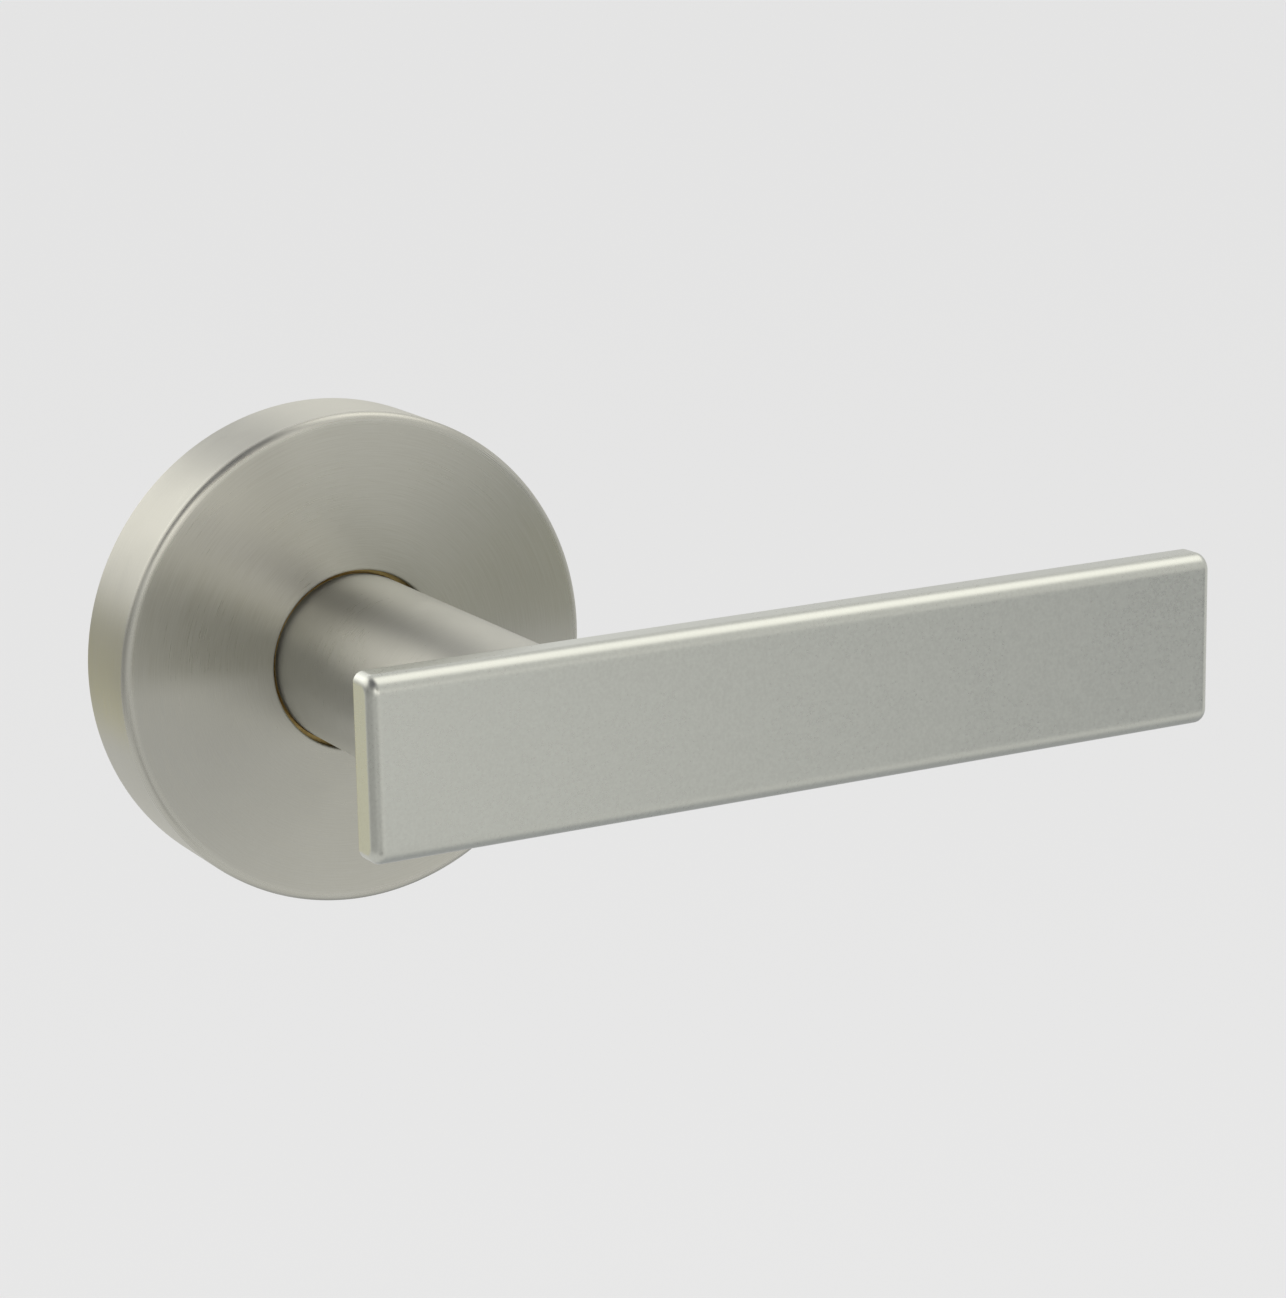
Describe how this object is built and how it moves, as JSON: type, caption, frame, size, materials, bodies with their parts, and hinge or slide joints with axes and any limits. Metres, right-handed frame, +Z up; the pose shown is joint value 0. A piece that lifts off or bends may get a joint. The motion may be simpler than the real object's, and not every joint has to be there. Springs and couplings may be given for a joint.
{
  "type": "door lever handle",
  "caption": "Sprung door lever: flat round-edged bar on a turned neck and a plain round rose over a screwed base, with a square spindle for the latch.",
  "frame": {"origin": "middle of the rose on the door's face, on the spindle's axis", "axes": "+X along the lever towards its long end, +Y into the door along the spindle, +Z up"},
  "size_m": [0.131, 0.1089, 0.065],
  "materials": {
    "satin_steel_bar": "satin stainless steel, fine even grain",
    "satin_steel_neck": "satin stainless steel, turned",
    "satin_steel_rose": "satin stainless steel, spun in circles",
    "brass": "plain brass",
    "zinc": null,
    "bronze": "sintered bronze",
    "washer_plastic": "natural acetal",
    "spring_steel": "drawn spring steel",
    "pin_steel": "ground steel",
    "plated_steel": "zinc-plated steel",
    "yellow_plated_steel": "zinc-plated steel, passivated yellow",
    "black_steel": "black oxide steel"
  },
  "bodies": {
    "base": {"base_plate": "zinc", "bearing_bush": "bronze", "thrust_washer": "washer_plastic", "return_spring": "spring_steel", "stop_pins": "pin_steel", "spring_anchor_pin": "pin_steel", "mounting_screws": "plated_steel", "lock_washers": "spring_steel", "wood_screws": "plated_steel", "cover_snap_ring": "spring_steel"},
    "rose": {"rose_cover": "satin_steel_rose"},
    "lever": {"lever_bar": "satin_steel_bar", "lever_neck": "satin_steel_neck", "neck_ring": "brass", "drive_plate": "yellow_plated_steel", "drive_pins": "pin_steel", "spindle": "plated_steel", "set_screw": "black_steel", "shim_washer": "spring_steel", "retaining_ring": "black_steel"}
  },
  "joints": [
    {"name": "lever_turn", "type": "hinge", "parent": "base", "child": "lever", "pos_m": [0, 0, 0], "axis": [0, 1, 0], "range_deg": [0, 45], "stiffness_Nm_per_rad": 0.6, "springref_deg": -28.65, "deforming": ["return_spring"]},
    {"name": "rose_slide", "type": "slide", "parent": "base", "child": "rose", "axis": [0, -1, 0], "range_m": [0, 0.04], "deforming": ["cover_snap_ring"]}
  ]
}
